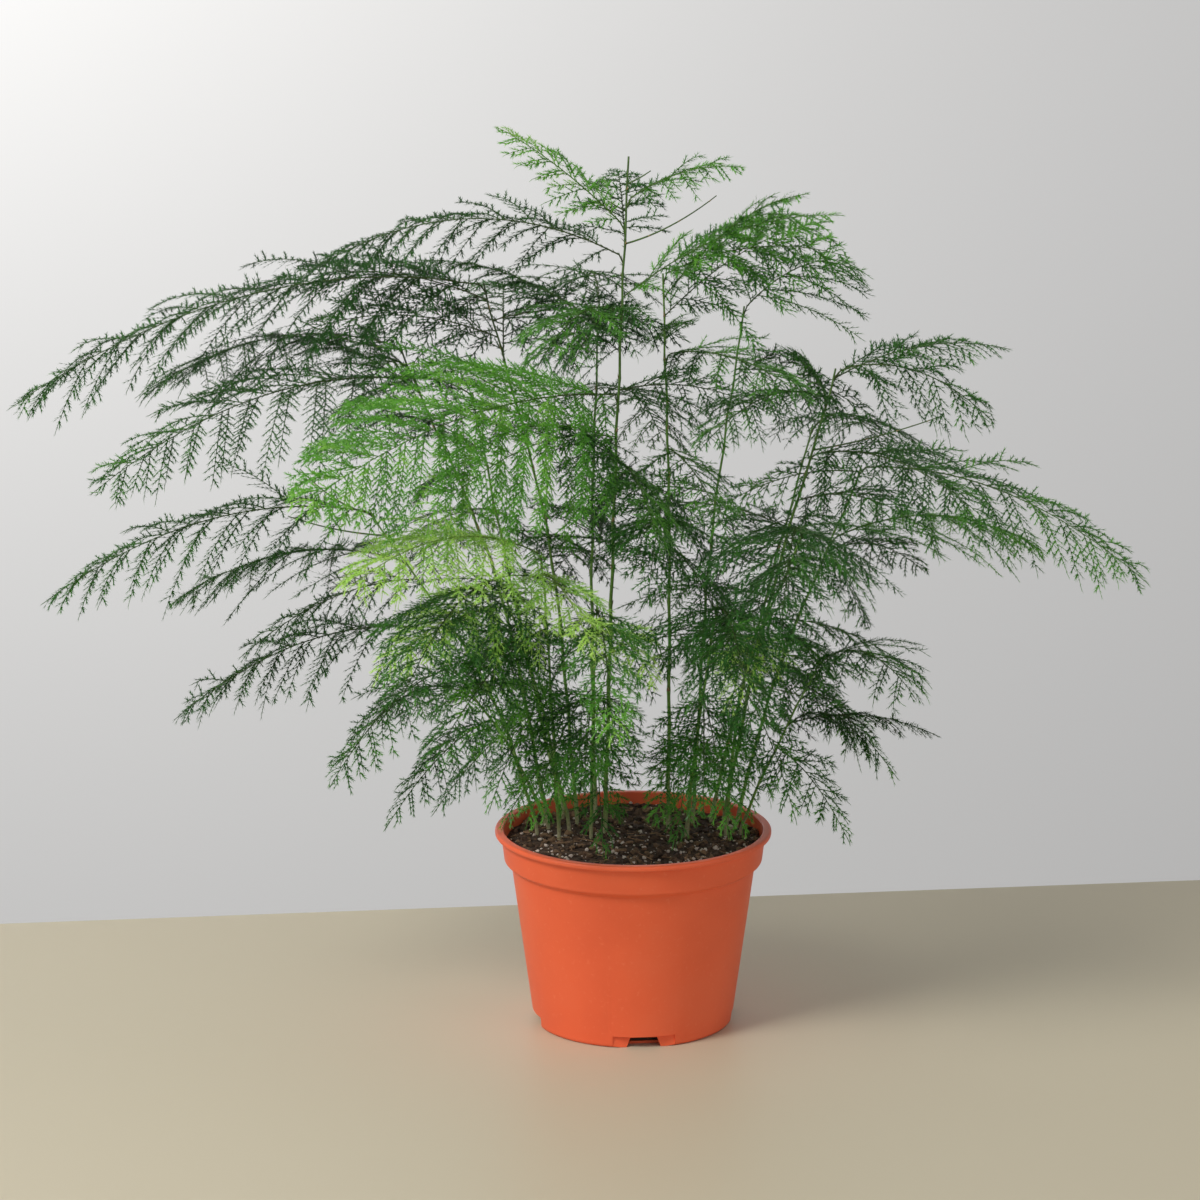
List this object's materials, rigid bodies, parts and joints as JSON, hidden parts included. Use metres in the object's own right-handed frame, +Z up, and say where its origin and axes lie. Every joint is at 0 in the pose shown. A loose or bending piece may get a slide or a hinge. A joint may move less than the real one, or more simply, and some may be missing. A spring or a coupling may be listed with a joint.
{
  "type": "potted asparagus fern",
  "caption": "Airy asparagus fern with slender canes and flat, feathery arching fronds, growing in a round tapered plastic nursery pot with a collar, rolled lip and drain notches.",
  "frame": {"origin": "on the pot's axis, on the flat underside of the pot's base, where the part stands on a surface", "axes": "+Z up along the pot's axis; +X to the right seen from the front, along the plant's widest spread; -Y towards the front, where the foliage is fullest and brightest"},
  "size_m": [0.6298, 0.4227, 0.5087],
  "materials": {
    "pot_plastic": "moulded terracotta-coloured plastic with a soft satin sheen",
    "potting_mix": "dark, coarse, crumbly potting mix with pale mineral grains",
    "cane": "smooth green cane, paler at the foot, with small pale nodes",
    "foliage": "deep green needle-like foliage with a faint waxy sheen",
    "new_growth": "fresh yellow-green needle-like foliage"
  },
  "bodies": {
    "root": {"pot": "pot_plastic", "soil": "potting_mix", "cane_01": "cane", "cane_02": "cane", "cane_03": "cane", "cane_04": "cane", "cane_05": "cane", "cane_06": "cane", "cane_07": "cane", "cane_08": "cane", "cane_09": "cane", "cane_10": "cane", "cane_11": "cane", "cane_12": "cane", "cane_13": "cane", "cane_14": "cane", "cane_15": "cane", "cane_16": "cane", "cane_17": "cane", "cane_18": "cane", "frond_01": "new_growth", "frond_02": "foliage", "frond_03": "foliage", "frond_04": "foliage", "frond_05": "new_growth", "frond_06": "foliage", "frond_07": "foliage", "frond_08": "foliage", "frond_09": "foliage", "frond_10": "foliage", "frond_11": "foliage", "frond_12": "foliage", "frond_13": "foliage", "frond_14": "foliage", "frond_15": "foliage", "frond_16": "foliage", "frond_17": "foliage", "frond_18": "foliage", "frond_19": "foliage", "frond_20": "new_growth", "frond_21": "foliage", "frond_22": "foliage", "frond_23": "foliage", "frond_24": "foliage", "frond_25": "foliage", "frond_26": "foliage", "frond_27": "foliage", "frond_28": "foliage", "frond_29": "foliage", "frond_30": "foliage", "frond_31": "foliage", "frond_32": "foliage", "frond_33": "foliage", "frond_34": "foliage", "frond_35": "foliage", "frond_36": "foliage", "frond_37": "foliage", "frond_38": "foliage", "frond_39": "foliage", "frond_40": "foliage"}
  },
  "joints": []
}
